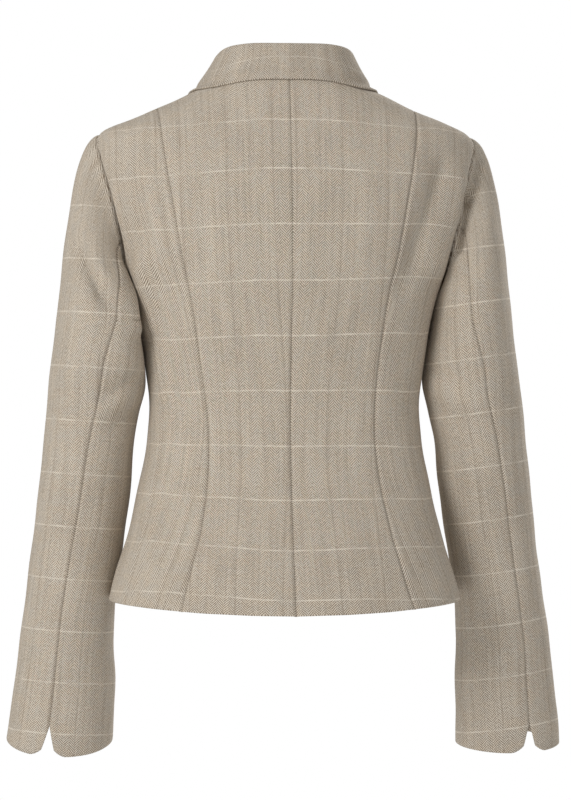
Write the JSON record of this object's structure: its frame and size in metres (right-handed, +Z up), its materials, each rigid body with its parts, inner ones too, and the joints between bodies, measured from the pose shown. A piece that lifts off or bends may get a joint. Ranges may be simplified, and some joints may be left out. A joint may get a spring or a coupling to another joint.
{
  "type": "fitted wool jacket",
  "caption": "Short fitted wool jacket in herringbone with a fine windowpane check: turned-down collar, shaped seams, flared hem, vented cuffs, hollow as worn.",
  "frame": {"origin": "middle of the neck base, level with the collar seam, where the wearer's shoulders hold the jacket up", "axes": "+Z up, -Y the way the wearer faces, +X the wearer's left"},
  "size_m": [0.5716, 0.2655, 0.7125],
  "materials": {
    "herringbone_wool": "soft brushed wool",
    "horn": "satin"
  },
  "bodies": {
    "root": {"back_left": "herringbone_wool", "side_back_left": "herringbone_wool", "side_front_left": "herringbone_wool", "front_left": "herringbone_wool", "top_sleeve_left": "herringbone_wool", "under_sleeve_left": "herringbone_wool", "lapel_left": "herringbone_wool", "back_right": "herringbone_wool", "side_back_right": "herringbone_wool", "side_front_right": "herringbone_wool", "front_right": "herringbone_wool", "top_sleeve_right": "herringbone_wool", "under_sleeve_right": "herringbone_wool", "lapel_right": "herringbone_wool", "collar": "herringbone_wool", "button_upper": "horn", "button_lower": "horn"}
  },
  "joints": []
}
